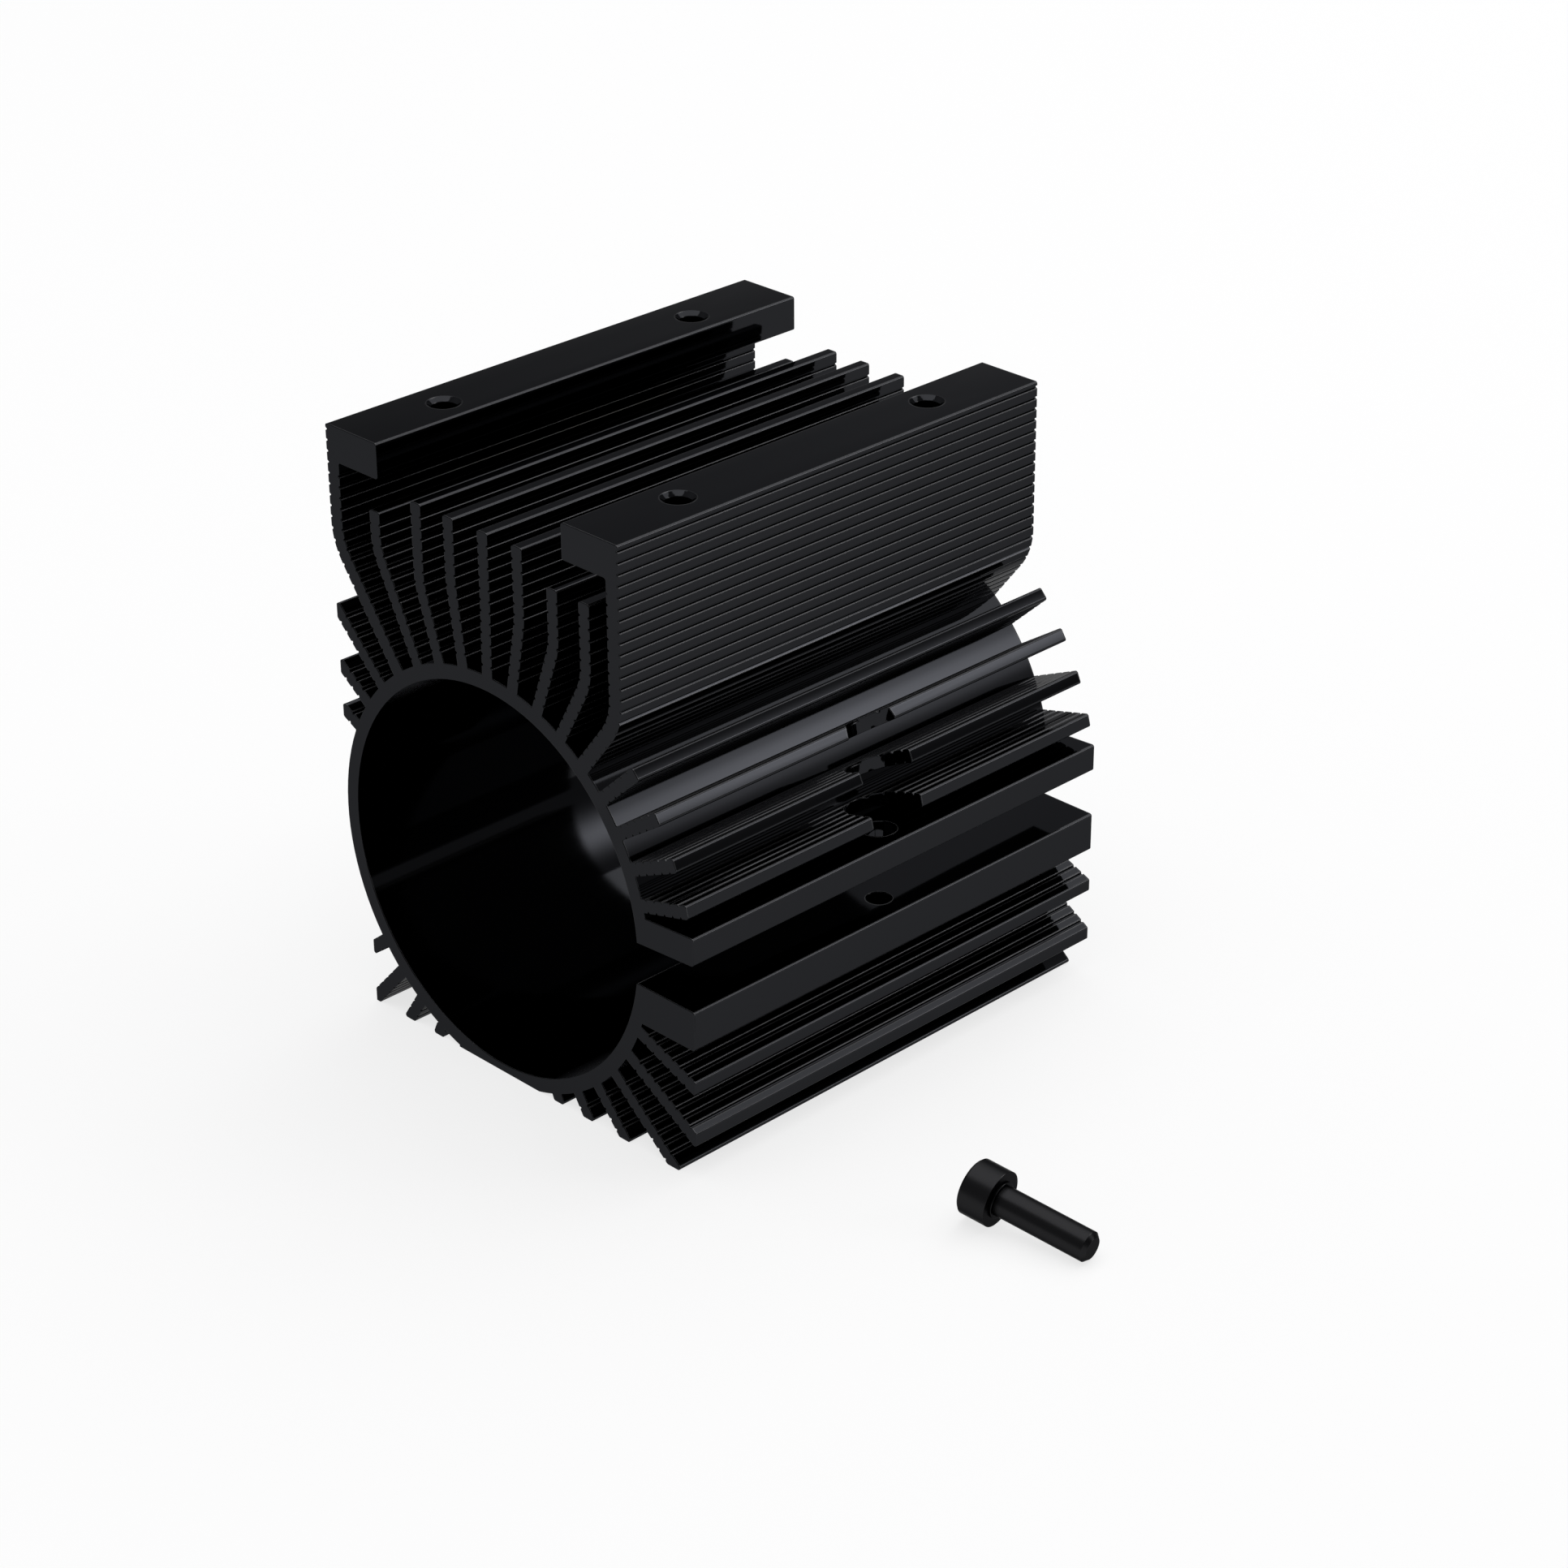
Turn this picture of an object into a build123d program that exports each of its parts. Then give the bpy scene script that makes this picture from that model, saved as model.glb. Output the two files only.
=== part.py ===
"""Clamp-on motor heat sink with a fan seat, and the cap screw of its clamp.

The sink is one aluminium extrusion: a split ring that grips the motor's can, radial fins
with serrated sides, two walls with rails that carry a fan, and two clamp flanges. The
section lies in the XZ plane and runs along Y. The origin is on the bore's axis, half way
along the sink. Angles of fins are clockwise from +Z, seen from the front. Millimetres.
"""

from build123d import *
import math
import os

os.makedirs("parts", exist_ok=True)

# Ring and length
sink_length = 54.0
bore_diameter = 40.0
ring_wall = 1.5

# Fins, evenly spaced round the ring
fin_places = 39
first_fin_angle = 1.2
fin_thickness = 1.35
bend_radius = 6.0
tip_rounding = 0.25
foot_depth = 0.9

# Serration of the fins' sides: flat-topped teeth with steep notches between them
tooth_pitch = 1.1
notch_depth = 0.2
notch_width = 0.34
notch_floor = 0.08
tip_land = 1.3
side_tip_land = 0.95
root_land = 0.6

# Outer limits of the section, from the bore's axis
left_face = 21.3
lower_left_face = 18.85
right_face = 27.35
bottom_face = 20.8
bottom_flat_left = 6.2
side_tip_radius = 27.55

# Fan seat: a 40 mm fan on two rails
fan_size = 40.0
fan_screw_spacing = 32.0
fan_top = 40.2
rail_width = 7.3
rail_thickness = 3.55
rail_root_rounding = 0.3
wall_thickness = 1.6
tap_diameter = 2.5
tap_mouth_diameter = 3.35
tap_run_out = 1.0
tall_fin_top = 35.95
short_fin_top = 33.3

# Clamp: a slit between a tilted upper flange and a level lower one
slit_upper_height = 1.42
slit_lower_height = -2.95
upper_flange_tilt = 3.5
upper_flange_thickness = 2.8
lower_flange_thickness = 4.0
clamp_screw_x = 24.3
clearance_hole_diameter = 3.3
access_slot_width = 6.5
access_slot_top = 19.0

# Clamp screw: M3 x 10 socket head cap screw
screw_diameter = 3.0
screw_length = 10.0
screw_head_diameter = 5.5
screw_head_height = 3.0
screw_head_edge = 0.2
screw_tip_chamfer = 0.4
screw_collar_diameter = 3.6
screw_collar_height = 0.2
socket_width = 2.5
socket_depth = 1.3
screw_rest_x = 51.9
screw_rest_y = -12.7
screw_rest_turn = 8.4

# Sizes that follow
bore_radius = bore_diameter / 2
ring_radius = bore_radius + ring_wall
fin_pitch_angle = 360 / fin_places
fan_right = fan_size - left_face
fan_centre_x = fan_right - fan_size / 2
rail_bottom = fan_top - rail_thickness
tilt_slope = math.tan(math.radians(upper_flange_tilt))
slit_tip_height = slit_upper_height + tilt_slope * (right_face - bore_radius)
flange_rise = upper_flange_thickness / math.cos(math.radians(upper_flange_tilt))


def fin_angle(place):
    """Angle of the fin at a place counted clockwise from the one nearest the top."""
    return first_fin_angle + place * fin_pitch_angle


def straight_path(angle):
    """Gives the point at a distance along a radial fin and an offset across it."""
    turn = math.radians(angle)

    def point(along, across):
        x = along * math.sin(turn) + across * math.cos(turn)
        z = along * math.cos(turn) - across * math.sin(turn)
        return x, z

    return point


def bent_path(angle, turn_height):
    """The same for a fin that leaves the ring radially and turns upright at turn_height."""
    turn = math.radians(angle)
    side = math.copysign(1, turn)
    upright_x = turn_height * math.tan(turn)
    tangent = bend_radius * math.tan(abs(turn) / 2)
    bend_start = turn_height / math.cos(turn) - tangent
    bend_length = bend_radius * abs(turn)
    bend_end_z = turn_height + tangent
    radial = straight_path(angle)

    def point(along, across):
        past = along - bend_start
        if past <= 0:
            return radial(along, across)
        if past >= bend_length:
            return upright_x + across, bend_end_z + past - bend_length
        left = (bend_length - past) / bend_radius
        reach = bend_radius + side * across
        centre_x = upright_x - side * bend_radius
        return centre_x + side * reach * math.cos(left), bend_end_z - reach * math.sin(left)

    def length_to(height):
        return bend_start + bend_length + height - bend_end_z

    return point, length_to


def toothed_side(path, across, end, last_notch):
    """Corners of one serrated side, from inside the ring to the last notch at the tip."""
    bottom = across - math.copysign(notch_depth, across)
    steps = int((last_notch - ring_radius - root_land) / tooth_pitch)
    notches = [last_notch - step * tooth_pitch for step in range(steps, -1, -1)]
    notches = [notch for notch in notches if notch + notch_width / 2 < end - tip_rounding]
    corners = [(*path(ring_radius - foot_depth, across), 0)]
    for notch in notches:
        corners.append((*path(notch - notch_width / 2, across), 0))
        corners.append((*path(notch - notch_floor / 2, bottom), 0))
        corners.append((*path(notch + notch_floor / 2, bottom), 0))
        corners.append((*path(notch + notch_width / 2, across), 0))
    return corners


def fin_outline(path, right_end, left_end, land):
    """Outline of a serrated fin whose sides end at two lengths."""
    half = fin_thickness / 2
    last_notch = (right_end + left_end) / 2 - land
    right = toothed_side(path, half, right_end, last_notch)
    left = toothed_side(path, -half, left_end, last_notch)
    tip = [(*path(right_end, half), tip_rounding), (*path(left_end, -half), tip_rounding)]
    return right + tip + left[::-1]


def upright_fin(place, turn_height, top):
    """A fin that turns upright under the fan."""
    path, length_to = bent_path(fin_angle(place), turn_height)
    return fin_outline(path, length_to(top), length_to(top), tip_land)


def radial_fin(place, limit_angle, limit, land=tip_land):
    """A fin that runs straight out to a plane at a distance from the bore's axis."""
    slant = math.radians(fin_angle(place) - limit_angle)
    shift = fin_thickness / 2 * math.sin(slant)
    right_end = (limit + shift) / math.cos(slant)
    left_end = (limit - shift) / math.cos(slant)
    return fin_outline(straight_path(fin_angle(place)), right_end, left_end, land)


def wall_outline(place, outer_x):
    """An outer wall with its rail, which points towards the middle of the fan."""
    side = math.copysign(1, outer_x)
    half = wall_thickness / 2
    inner_x = outer_x - side * wall_thickness
    rail_x = outer_x - side * rail_width
    turn_height = (outer_x - side * half) / math.tan(math.radians(fin_angle(place)))
    path, length_to = bent_path(fin_angle(place), turn_height)
    last_notch = length_to(fan_top) - tooth_pitch / 2
    covered = math.ceil((rail_thickness + rail_root_rounding) / tooth_pitch) * tooth_pitch
    outer = toothed_side(path, side * half, length_to(fan_top), last_notch)
    inner = toothed_side(path, -side * half, length_to(rail_bottom), last_notch - covered)
    rail = [
        (outer_x, fan_top, tip_rounding),
        (rail_x, fan_top, tip_rounding),
        (rail_x, rail_bottom, tip_rounding),
        (inner_x, rail_bottom, rail_root_rounding),
    ]
    return outer + rail + inner[::-1]


def flange_outline(root_x, under_root, under_tip, over_root, over_tip):
    """A clamp flange from inside the ring to its tip, given by the heights of its faces."""
    return [
        (root_x, under_root, 0),
        (right_face, under_tip, tip_rounding),
        (right_face, over_tip, tip_rounding),
        (root_x, over_root, 0),
    ]


def draw_outline(corners):
    """Draws a closed outline. A corner is x, z and the radius that rounds it."""
    legs = []
    for number, (x, z, radius) in enumerate(corners):
        here = Vector(x, z)
        following = corners[(number + 1) % len(corners)]
        back = (Vector(*corners[number - 1][:2]) - here).normalized()
        ahead = (Vector(*following[:2]) - here).normalized()
        if radius == 0:
            legs.append((here, None, here))
            continue
        half = math.radians(back.get_angle(ahead)) / 2
        reach = radius / math.tan(half)
        middle = here + (back + ahead).normalized() * (radius / math.sin(half) - radius)
        legs.append((here + back * reach, middle, here + ahead * reach))
    run = [legs[-1][2]]
    for start, middle, finish in legs:
        run.append(start)
        if middle is not None:
            Polyline(*run)
            ThreePointArc(start, middle, finish)
            run = [finish]
    if len(run) > 1:
        Polyline(*run)


# Everything that stands out from the ring, from left to right under the fan
outlines = [
    wall_outline(-4, -left_face),
    upright_fin(-3, 29.6, short_fin_top),
    upright_fin(-2, 28.0, tall_fin_top),
    upright_fin(-1, 29.5, tall_fin_top),
    upright_fin(0, 28.6, tall_fin_top),
    upright_fin(1, 28.6, tall_fin_top),
    upright_fin(2, 27.6, short_fin_top),
    upright_fin(3, 25.5, short_fin_top),
    wall_outline(4, fan_right),
]

# Short fins left of the bore, above and below the bare part of the ring
outlines += [radial_fin(place, -90, left_face) for place in (-5, -6, -7)]
outlines += [radial_fin(place, -90, lower_left_face) for place in (-14, -15)]

# Fins that the sink stands on
outlines += [radial_fin(place, 180, bottom_face) for place in (-17, -16, 14, 15, 16, 17)]

# Fins right of the bore, above and below the clamp
for place in (5, 6, 7, 8):
    outlines.append(radial_fin(place, fin_angle(place), side_tip_radius, side_tip_land))
outlines += [radial_fin(place, 90, right_face) for place in (12, 13)]

# Clamp flanges, the upper one rising towards its tip
outlines += [
    flange_outline(
        bore_radius,
        slit_upper_height,
        slit_tip_height,
        slit_upper_height + flange_rise,
        slit_tip_height + flange_rise,
    ),
    flange_outline(
        bore_radius,
        slit_lower_height - lower_flange_thickness,
        slit_lower_height - lower_flange_thickness,
        slit_lower_height,
        slit_lower_height,
    ),
]

with BuildPart() as heat_sink:
    # Section of the extrusion, drawn at the back face
    with BuildSketch(Plane.XZ.offset(-sink_length / 2)):
        Circle(ring_radius)
        for outline in outlines:
            with BuildLine():
                draw_outline(outline)
            make_face()

        # Flat under the ring, a little wider than the ring on the left
        with Locations((-bottom_flat_left / 2, -bottom_face + ring_wall / 2)):
            Rectangle(bottom_flat_left, ring_wall)
        with Locations((0, -bottom_face - ring_wall)):
            Rectangle(2 * right_face, 2 * ring_wall, mode=Mode.SUBTRACT)

        # Slit that lets the ring close on the motor
        with BuildLine():
            Polyline(
                (bore_radius - ring_wall, slit_lower_height),
                (ring_radius, slit_lower_height),
                (ring_radius, slit_upper_height + tilt_slope * ring_wall),
                (bore_radius, slit_upper_height),
                (bore_radius - ring_wall, slit_upper_height),
                close=True,
            )
        make_face(mode=Mode.SUBTRACT)
        Circle(bore_radius, mode=Mode.SUBTRACT)
    extrude(amount=sink_length)

    # Tapped holes for the fan's screws
    with Locations((fan_centre_x, 0, fan_top)):
        with GridLocations(fan_screw_spacing, fan_screw_spacing, 2, 2):
            CounterSinkHole(
                tap_diameter / 2,
                tap_mouth_diameter / 2,
                depth=rail_thickness + tap_run_out,
                counter_sink_angle=90,
            )

    # Way for the screw and its key, through three fins and down to the upper flange
    slot_floor = slit_tip_height + flange_rise
    with BuildSketch(Plane.XY.offset(slot_floor)):
        with Locations((clamp_screw_x, 0)):
            Circle(access_slot_width / 2)
        with Locations((clamp_screw_x + access_slot_width, 0)):
            Rectangle(2 * access_slot_width, access_slot_width)
    extrude(amount=access_slot_top - slot_floor, mode=Mode.SUBTRACT)

    # Clearance hole in the upper flange and tapped hole in the lower one
    with Locations((clamp_screw_x, 0, slot_floor)):
        Hole(clearance_hole_diameter / 2, depth=slot_floor)
    with Locations((clamp_screw_x, 0, 0)):
        Hole(tap_diameter / 2, depth=lower_flange_thickness - slit_lower_height + tap_run_out)

heat_sink.part.label = "heat_sink"
export_step(heat_sink.part, "parts/heat_sink.step")

# Clamp screw, at rest beside the sink on the rim of its head and the end of its shank
lean = math.atan2((screw_head_diameter - screw_diameter) / 2, screw_length - screw_tip_chamfer)
yaw = math.radians(screw_rest_turn)
screw_seat = Plane(
    origin=(
        screw_rest_x,
        screw_rest_y,
        screw_head_diameter / 2 * math.cos(lean) - bottom_face,
    ),
    x_dir=(-math.sin(yaw), math.cos(yaw), 0),
    z_dir=(
        math.cos(lean) * math.cos(yaw),
        math.cos(lean) * math.sin(yaw),
        -math.sin(lean),
    ),
)
along_screw = Axis(screw_seat.origin, screw_seat.z_dir)
with BuildPart() as clamp_screw:
    with BuildSketch(screw_seat):
        Circle(screw_head_diameter / 2)
    extrude(amount=-screw_head_height)
    chamfer(clamp_screw.edges().sort_by(along_screw)[0], screw_head_edge)
    with BuildSketch(screw_seat):
        Circle(screw_collar_diameter / 2)
    extrude(amount=screw_collar_height)
    with BuildSketch(screw_seat):
        Circle(screw_diameter / 2)
    extrude(amount=screw_length)
    chamfer(clamp_screw.edges().sort_by(along_screw)[-1], screw_tip_chamfer)
    with BuildSketch(screw_seat.offset(-screw_head_height)):
        RegularPolygon(socket_width / 2, 6, major_radius=False)
    extrude(amount=socket_depth, mode=Mode.SUBTRACT)

clamp_screw.part.label = "clamp_screw"
export_step(clamp_screw.part, "parts/clamp_screw.step")
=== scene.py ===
# Black anodised motor heat sink with its clamp screw, on a white studio table

import math

import bpy
from mathutils import Euler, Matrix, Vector


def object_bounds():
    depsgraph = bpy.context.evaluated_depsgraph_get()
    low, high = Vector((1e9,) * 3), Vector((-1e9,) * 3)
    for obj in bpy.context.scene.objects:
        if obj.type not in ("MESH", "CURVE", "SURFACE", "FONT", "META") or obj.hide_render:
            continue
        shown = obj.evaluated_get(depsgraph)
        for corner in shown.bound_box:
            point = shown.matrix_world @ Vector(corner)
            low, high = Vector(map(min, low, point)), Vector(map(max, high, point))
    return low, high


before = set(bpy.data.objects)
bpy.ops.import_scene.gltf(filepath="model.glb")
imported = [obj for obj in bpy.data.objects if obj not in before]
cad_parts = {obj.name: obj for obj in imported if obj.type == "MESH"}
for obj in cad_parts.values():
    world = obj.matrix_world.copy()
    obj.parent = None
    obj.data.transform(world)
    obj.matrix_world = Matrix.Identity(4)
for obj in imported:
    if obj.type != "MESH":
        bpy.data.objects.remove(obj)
cadBox = [list(corner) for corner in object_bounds()]
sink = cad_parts["heat_sink"]
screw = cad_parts["clamp_screw"]
tableHeight = cadBox[0][2]


# Nodes

def addNode(tree, kind, **settings):
    node = tree.nodes.new(kind)
    for name, value in settings.items():
        setattr(node, name, value)
    return node


# Links an input to another node's output, or sets it to a plain value
def feed(tree, socket, value):
    if isinstance(value, bpy.types.NodeSocket):
        tree.links.new(value, socket)
    else:
        socket.default_value = value


def addMath(tree, operation, first, second=None):
    node = addNode(tree, "ShaderNodeMath", operation=operation)
    feed(tree, node.inputs[0], first)
    if second is not None:
        feed(tree, node.inputs[1], second)
    return node.outputs[0]


# Carries a value over from one range to another, and holds it between that one's ends
def addRange(tree, value, fromRange, toRange):
    node = addNode(tree, "ShaderNodeMapRange")
    feed(tree, node.inputs["Value"], value)
    node.inputs["From Min"].default_value, node.inputs["From Max"].default_value = fromRange
    node.inputs["To Min"].default_value, node.inputs["To Max"].default_value = toRange
    return node.outputs[0]


def addMix(tree, kind, share, first, second):
    node = addNode(tree, "ShaderNodeMix", data_type=kind)
    feed(tree, node.inputs["Factor"], share)
    feed(tree, node.inputs["A"], first)
    feed(tree, node.inputs["B"], second)
    return node.outputs["Result"]


def addNoise(tree, vector, scale, detail):
    node = addNode(tree, "ShaderNodeTexNoise")
    feed(tree, node.inputs["Vector"], vector)
    node.inputs["Scale"].default_value = scale
    node.inputs["Detail"].default_value = detail
    return node.outputs[0]


def objectPlace(tree):
    return addNode(tree, "ShaderNodeTexCoord").outputs["Object"]


def addGroup(name, inputs, outputs):
    group = bpy.data.node_groups.new(name, "ShaderNodeTree")
    for socket, value in inputs.items():
        made = group.interface.new_socket(socket, in_out="INPUT", socket_type="NodeSocketFloat")
        made.default_value = value
    for socket, kind in outputs.items():
        group.interface.new_socket(socket, in_out="OUTPUT", socket_type=kind)
    return group, group.nodes.new("NodeGroupInput").outputs, group.nodes.new("NodeGroupOutput").inputs


def useGroup(tree, group, **values):
    node = addNode(tree, "ShaderNodeGroup", node_tree=group)
    for name, value in values.items():
        node.inputs[name].default_value = value
    return node.outputs


def newMaterial(name):
    material = bpy.data.materials.new(name)
    material.use_nodes = True
    tree = material.node_tree
    tree.nodes.clear()
    out = tree.nodes.new("ShaderNodeOutputMaterial")
    shader = tree.nodes.new("ShaderNodeBsdfPrincipled")
    tree.links.new(shader.outputs[0], out.inputs["Surface"])
    return material, tree, shader


# Die lines: fine streaks that run along the extrusion
dieLines, given, wanted = addGroup(
    "dieLines",
    {"Density": 9000.0, "Run": 12.0},
    {"Streaks": "NodeSocketFloat"},
)
streakDetail = 3
stretch = addNode(dieLines, "ShaderNodeCombineXYZ")
feed(dieLines, stretch.inputs["X"], given["Density"])
feed(dieLines, stretch.inputs["Y"], given["Run"])
feed(dieLines, stretch.inputs["Z"], given["Density"])
drawnOut = addNode(dieLines, "ShaderNodeVectorMath", operation="MULTIPLY")
feed(dieLines, drawnOut.inputs[0], objectPlace(dieLines))
feed(dieLines, drawnOut.inputs[1], stretch.outputs[0])
feed(dieLines, wanted["Streaks"], addNoise(dieLines, drawnOut.outputs[0], 1, streakDetail))

# Edges: rays sent into the metal soon leave it again where an edge stands out. The normal is
# rounded off there. There the colour is also made lighter, as patchy wear and as a painted highlight
# that is put
# only on edges that face up: not along the cut ends, whose edges face along Y, nor on edges that face
# down
sheenAndWearLook = {
    "roundingSamples": 12,
    "thinnessSamples": 16,
    "thinness": (0.98, 0.88),
    "alongside": (0.15, 0.03),
    "upward": (0.1, 0.35),
    "patchScale": 900,
    "patchDetail": 4,
    "leastSheenAndWear": 0.8,
}
edgeSheenAndWear, given, wanted = addGroup(
    "edgeSheenAndWear",
    {"Width": 0.0001},
    {"Mask": "NodeSocketFloat", "Normal": "NodeSocketVector"},
)
rounded = addNode(edgeSheenAndWear, "ShaderNodeBevel", samples=sheenAndWearLook["roundingSamples"])
feed(edgeSheenAndWear, rounded.inputs["Radius"], given["Width"])
inner = addNode(
    edgeSheenAndWear,
    "ShaderNodeAmbientOcclusion",
    samples=sheenAndWearLook["thinnessSamples"],
    inside=True,
    only_local=True,
)
feed(edgeSheenAndWear, inner.inputs["Distance"], given["Width"])
raised = addRange(edgeSheenAndWear, inner.outputs["AO"], sheenAndWearLook["thinness"], (0, 1))
trueNormal = addNode(edgeSheenAndWear, "ShaderNodeNewGeometry").outputs["Normal"]
feed(edgeSheenAndWear, wanted["Normal"], addMix(edgeSheenAndWear, "VECTOR", raised, trueNormal, rounded.outputs[0]))
patches = addNoise(edgeSheenAndWear, objectPlace(edgeSheenAndWear), sheenAndWearLook["patchScale"], sheenAndWearLook["patchDetail"])
axes = addNode(edgeSheenAndWear, "ShaderNodeSeparateXYZ")
feed(edgeSheenAndWear, axes.inputs[0], rounded.outputs[0])
slant = addMath(edgeSheenAndWear, "ABSOLUTE", axes.outputs["Y"])
patchy = addRange(edgeSheenAndWear, patches, (0, 1), (sheenAndWearLook["leastSheenAndWear"], 1))
alongside = addRange(edgeSheenAndWear, slant, sheenAndWearLook["alongside"], (0, 1))
upward = addRange(edgeSheenAndWear, axes.outputs["Z"], sheenAndWearLook["upward"], (0, 1))
# Lighter colour where an edge stands out and faces up: a painted highlight, with patchy wear
sheenAndWearMask = addMath(edgeSheenAndWear, "MULTIPLY", raised, patchy)
sheenAndWearMask = addMath(edgeSheenAndWear, "MULTIPLY", sheenAndWearMask, alongside)
sheenAndWearMask = addMath(edgeSheenAndWear, "MULTIPLY", sheenAndWearMask, upward)
feed(edgeSheenAndWear, wanted["Mask"], sheenAndWearMask)
print("node groups ready")


# Materials

sinkLook = {
    "colour": (0.0186, 0.0192, 0.0212, 1),
    "edgeTint": (0.5, 0.5, 0.5, 1),
    # Lighter colour and less metal on edges that face up: a painted highlight, and wear
    "sheenAndWearColour": (0.1, 0.1, 0.103, 1),
    "sheenAndWearMetal": 0.3,
    "sheenAndWearWidth": 0.00016,
    "flatAngle": (0.75, 0.9),
    "streaks": (0.3, 0.7),
    "roughness": (0.04, 0.07),
    "grainScale": 26000,
    "grainDetail": 2,
    "bump": 0.004,
    "bumpDistance": 0.0001,
    "crease": 24,
}


def anodised():
    material, tree, shader = newMaterial("blackAnodisedAluminium")
    sheenAndWearEdge = useGroup(tree, edgeSheenAndWear, Width=sinkLook["sheenAndWearWidth"])
    # Edges that stand out and face up get a lighter colour: a painted highlight, and wear
    colour = addMix(tree, "RGBA", sheenAndWearEdge["Mask"], sinkLook["colour"], sinkLook["sheenAndWearColour"])
    feed(tree, shader.inputs["Base Color"], colour)
    streaks = useGroup(tree, dieLines)["Streaks"]
    gloss = addRange(tree, streaks, sinkLook["streaks"], sinkLook["roughness"])
    feed(tree, shader.inputs["Roughness"], gloss)
    relief = addNode(tree, "ShaderNodeBump")
    relief.inputs["Strength"].default_value = sinkLook["bump"]
    relief.inputs["Distance"].default_value = sinkLook["bumpDistance"]
    grain = addNoise(tree, objectPlace(tree), sinkLook["grainScale"], sinkLook["grainDetail"])
    feed(tree, relief.inputs["Height"], grain)
    feed(tree, relief.inputs["Normal"], sheenAndWearEdge["Normal"])
    feed(tree, shader.inputs["Normal"], relief.outputs[0])
    # Where it is seen at a flat angle the dyed layer soaks up the light instead of mirroring it
    angle = addNode(tree, "ShaderNodeLayerWeight").outputs["Facing"]
    mirror = addRange(tree, angle, sinkLook["flatAngle"], (1, 0))
    metal = addRange(tree, sheenAndWearEdge["Mask"], (0, 1), (1, sinkLook["sheenAndWearMetal"]))
    feed(tree, shader.inputs["Metallic"], addMath(tree, "MULTIPLY", mirror, metal))
    shader.inputs["Specular IOR Level"].default_value = 0
    shader.inputs["Specular Tint"].default_value = sinkLook["edgeTint"]
    return material


screwLook = {
    "colour": (0.018, 0.018, 0.019, 1),
    "edgeTint": (0.45, 0.45, 0.45, 1),
    # Lighter colour on edges that face up: a painted highlight, and wear
    "sheenAndWearColour": (0.05, 0.05, 0.05, 1),
    "sheenAndWearWidth": 0.0001,
    "roughness": (0.27, 0.37),
    "grainScale": 9000,
    "grainDetail": 4,
    "crease": 30,
}


def blackOxide():
    material, tree, shader = newMaterial("blackOxideSteel")
    sheenAndWearEdge = useGroup(tree, edgeSheenAndWear, Width=screwLook["sheenAndWearWidth"])
    # Edges that stand out and face up get a lighter colour: a painted highlight, and wear
    colour = addMix(tree, "RGBA", sheenAndWearEdge["Mask"], screwLook["colour"], screwLook["sheenAndWearColour"])
    feed(tree, shader.inputs["Base Color"], colour)
    grain = addNoise(tree, objectPlace(tree), screwLook["grainScale"], screwLook["grainDetail"])
    feed(tree, shader.inputs["Roughness"], addRange(tree, grain, (0, 1), screwLook["roughness"]))
    feed(tree, shader.inputs["Normal"], sheenAndWearEdge["Normal"])
    shader.inputs["Metallic"].default_value = 1
    shader.inputs["Specular Tint"].default_value = screwLook["edgeTint"]
    return material


weldDistance = 0.000001


# Gives a piece its material, and smooths what curves by less than the crease's angle
def dress(piece, material, crease):
    piece.data.materials.clear()
    piece.data.materials.append(material)
    for face in piece.data.polygons:
        face.use_smooth = True
    weld = piece.modifiers.new("weld", "WELD")
    weld.merge_threshold = weldDistance
    split = piece.modifiers.new("split", "EDGE_SPLIT")
    split.split_angle = math.radians(crease)


dress(sink, anodised(), sinkLook["crease"])
dress(screw, blackOxide(), screwLook["crease"])
print("pieces dressed")


# Studio

floorLook = {"size": 6.0, "colour": (0.95, 0.95, 0.95, 1), "roughness": 0.9, "white": 0.75}


# What is seen of the table, straight or in the metal, is mostly plain white. The rest keeps the shadow
def whiteTable():
    material, tree, shader = newMaterial("whiteTable")
    shader.inputs["Base Color"].default_value = floorLook["colour"]
    shader.inputs["Roughness"].default_value = floorLook["roughness"]
    shader.inputs["Specular IOR Level"].default_value = 0
    path = addNode(tree, "ShaderNodeLightPath").outputs
    seen = addMath(tree, "MAXIMUM", path["Is Camera Ray"], path["Is Glossy Ray"])
    seen = addMath(tree, "MAXIMUM", seen, path["Is Transmission Ray"])
    both = addNode(tree, "ShaderNodeMixShader")
    feed(tree, both.inputs[0], addMath(tree, "MULTIPLY", seen, floorLook["white"]))
    feed(tree, both.inputs[1], shader.outputs[0])
    feed(tree, both.inputs[2], addNode(tree, "ShaderNodeEmission").outputs[0])
    feed(tree, tree.nodes["Material Output"].inputs["Surface"], both.outputs[0])
    return material


bpy.ops.mesh.primitive_plane_add(size=floorLook["size"], location=(0, 0, tableHeight))
floor = bpy.context.object
floor.name = "floor"
floor.data.materials.append(whiteTable())
print("table ready")


# The direction to a light, from its angles in degrees
def towards(elevation, azimuth):
    rise, turn = math.radians(elevation), math.radians(azimuth)
    across = math.cos(rise)
    return Vector((across * math.cos(turn), across * math.sin(turn), math.sin(rise)))


# A soft glow on the room's wall: the cosine of the angle from its middle, raised to its sharpness
def addGlow(tree, direction, elevation, azimuth, sharpness, level):
    facing = addNode(tree, "ShaderNodeVectorMath", operation="DOT_PRODUCT")
    feed(tree, facing.inputs[0], direction)
    feed(tree, facing.inputs[1], towards(elevation, azimuth))
    ahead = addMath(tree, "MAXIMUM", facing.outputs["Value"], 0)
    return addMath(tree, "MULTIPLY", addMath(tree, "POWER", ahead, sharpness), level)


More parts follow.
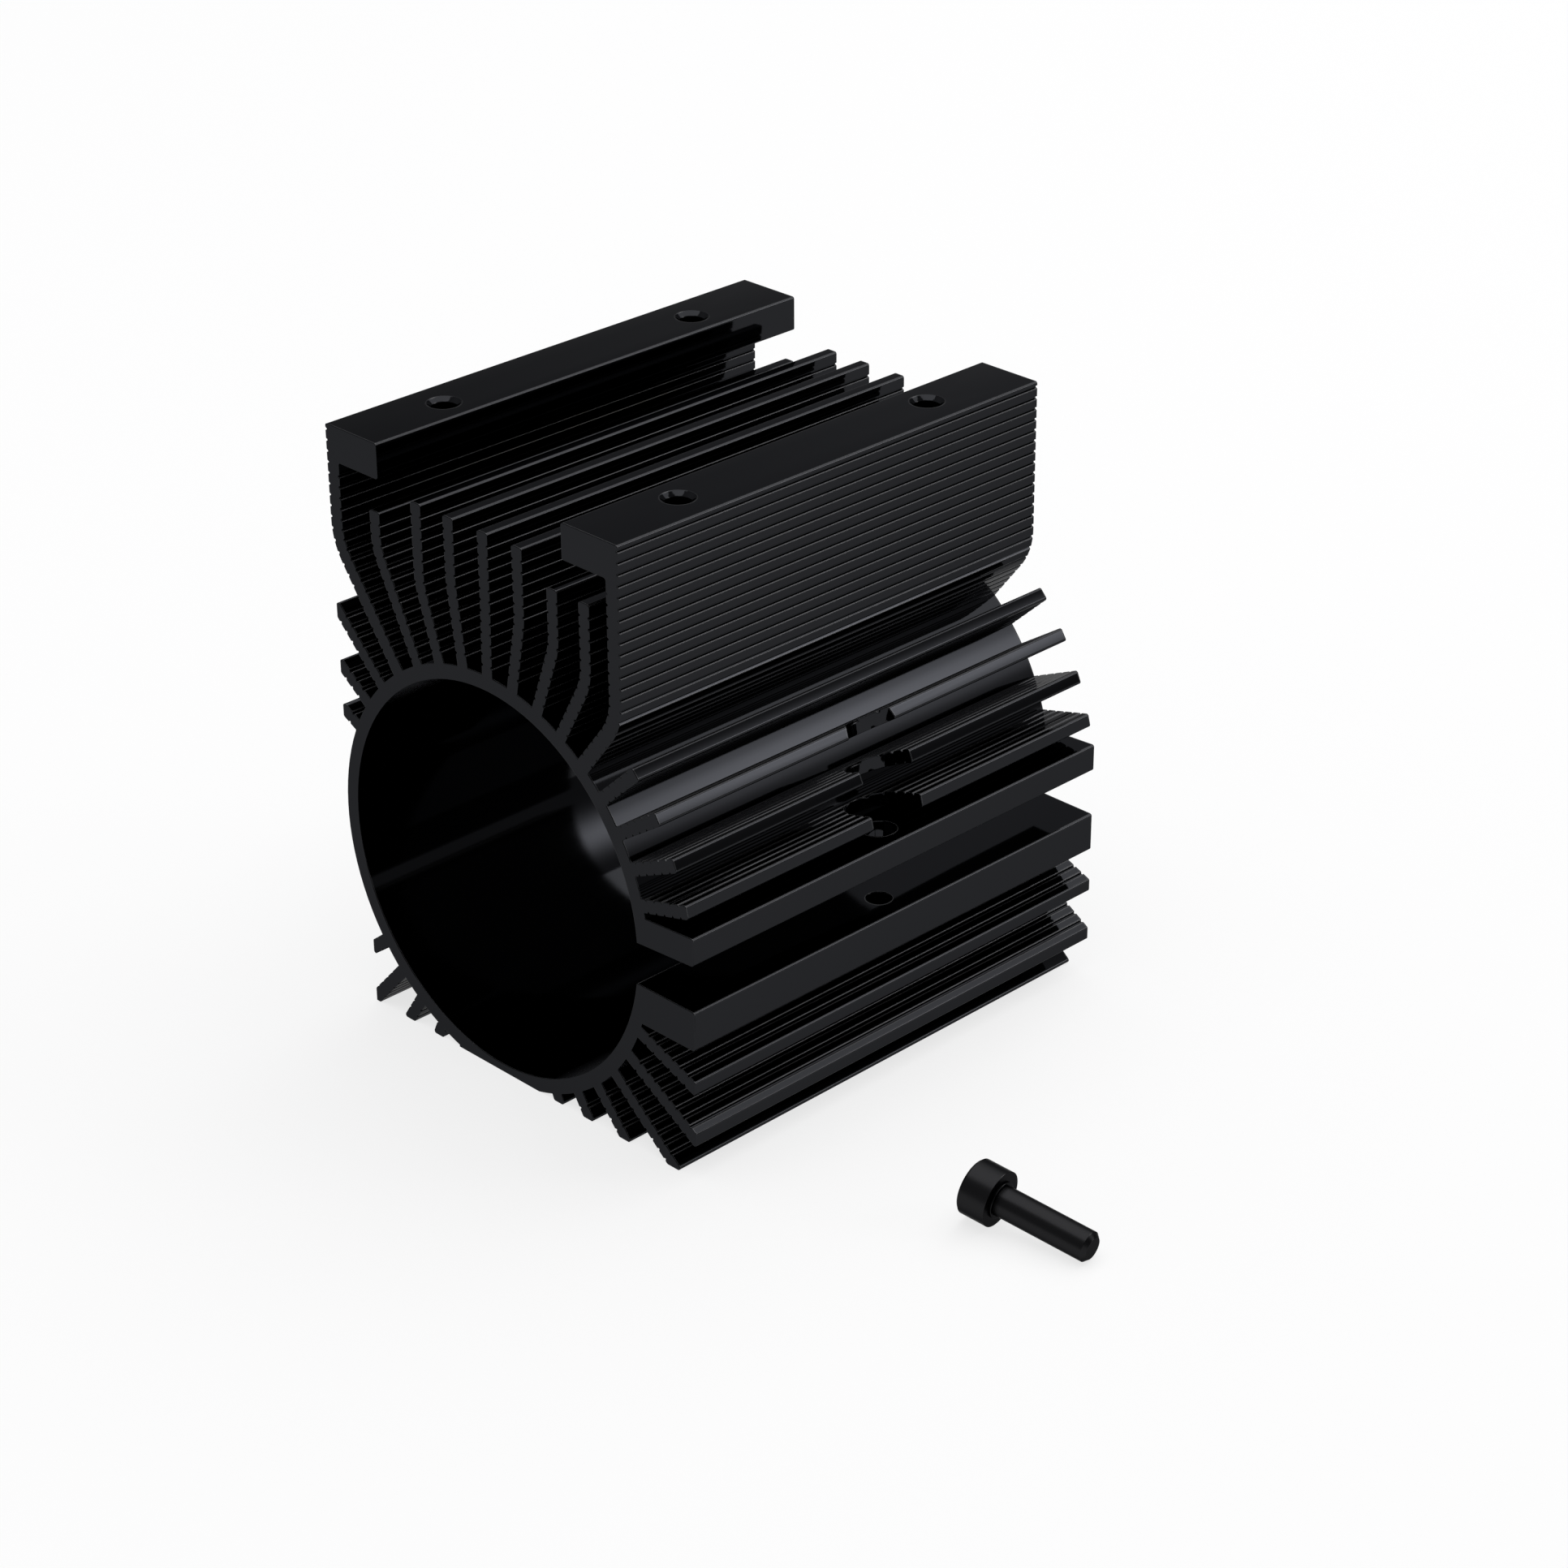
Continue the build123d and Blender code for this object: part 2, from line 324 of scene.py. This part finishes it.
# The room is lighter on the left, with a window's glow behind on either side
roomLook = {
    "sides": (-0.7, 0.7),
    "levels": (0.45, 0.2),
    "tint": (1, 1, 1.02, 1),
    "glows": (
        {"elevation": 26, "azimuth": 46, "sharpness": 117, "level": 5.4},
        {"elevation": 18, "azimuth": 125, "sharpness": 50, "level": 0.6},
    ),
}
world = bpy.data.worlds.new("studio")
bpy.context.scene.world = world
world.use_nodes = True
room = world.node_tree
direction = addNode(room, "ShaderNodeTexCoord").outputs["Generated"]
axes = addNode(room, "ShaderNodeSeparateXYZ")
feed(room, axes.inputs[0], direction)
light = addRange(room, axes.outputs["X"], roomLook["sides"], roomLook["levels"])
for look in roomLook["glows"]:
    light = addMath(room, "ADD", light, addGlow(room, direction, **look))
feed(room, room.nodes["Background"].inputs["Color"], roomLook["tint"])
feed(room, room.nodes["Background"].inputs["Strength"], light)

# A wide lamp over the object, turned to face it. Its level is how bright its face is
lampLook = {"elevation": 75, "azimuth": 90, "distance": 1.35, "width": 1.4, "length": 2.6, "level": 1.8}
lamp = bpy.data.lights.new("overhead", "AREA")
lamp.shape = "RECTANGLE"
lamp.size = lampLook["width"]
lamp.size_y = lampLook["length"]
lamp.energy = lampLook["level"] * math.pi * lampLook["width"] * lampLook["length"]
overhead = bpy.data.objects.new("overhead", lamp)
away = towards(lampLook["elevation"], lampLook["azimuth"])
overhead.location = away * lampLook["distance"]
overhead.rotation_euler = away.to_track_quat("Z", "Y").to_euler()
overhead.visible_camera = False
bpy.context.scene.collection.objects.link(overhead)

cameraLook = {
    "place": (0.245154, -0.229819, 0.175001),
    "turn": (62.51967, 0.2869, 45.31337),
    "lens": 88.495,
    "sensor": 36,
    "nearest": 0.01,
}
camera = bpy.data.cameras.new("camera")
camera.lens = cameraLook["lens"]
camera.sensor_width = cameraLook["sensor"]
camera.clip_start = cameraLook["nearest"]
viewpoint = bpy.data.objects.new("camera", camera)
viewpoint.location = cameraLook["place"]
viewpoint.rotation_euler = Euler([math.radians(angle) for angle in cameraLook["turn"]])
bpy.context.scene.collection.objects.link(viewpoint)
bpy.context.scene.camera = viewpoint
bpy.context.scene.view_settings.view_transform = "Standard"
print("studio ready")
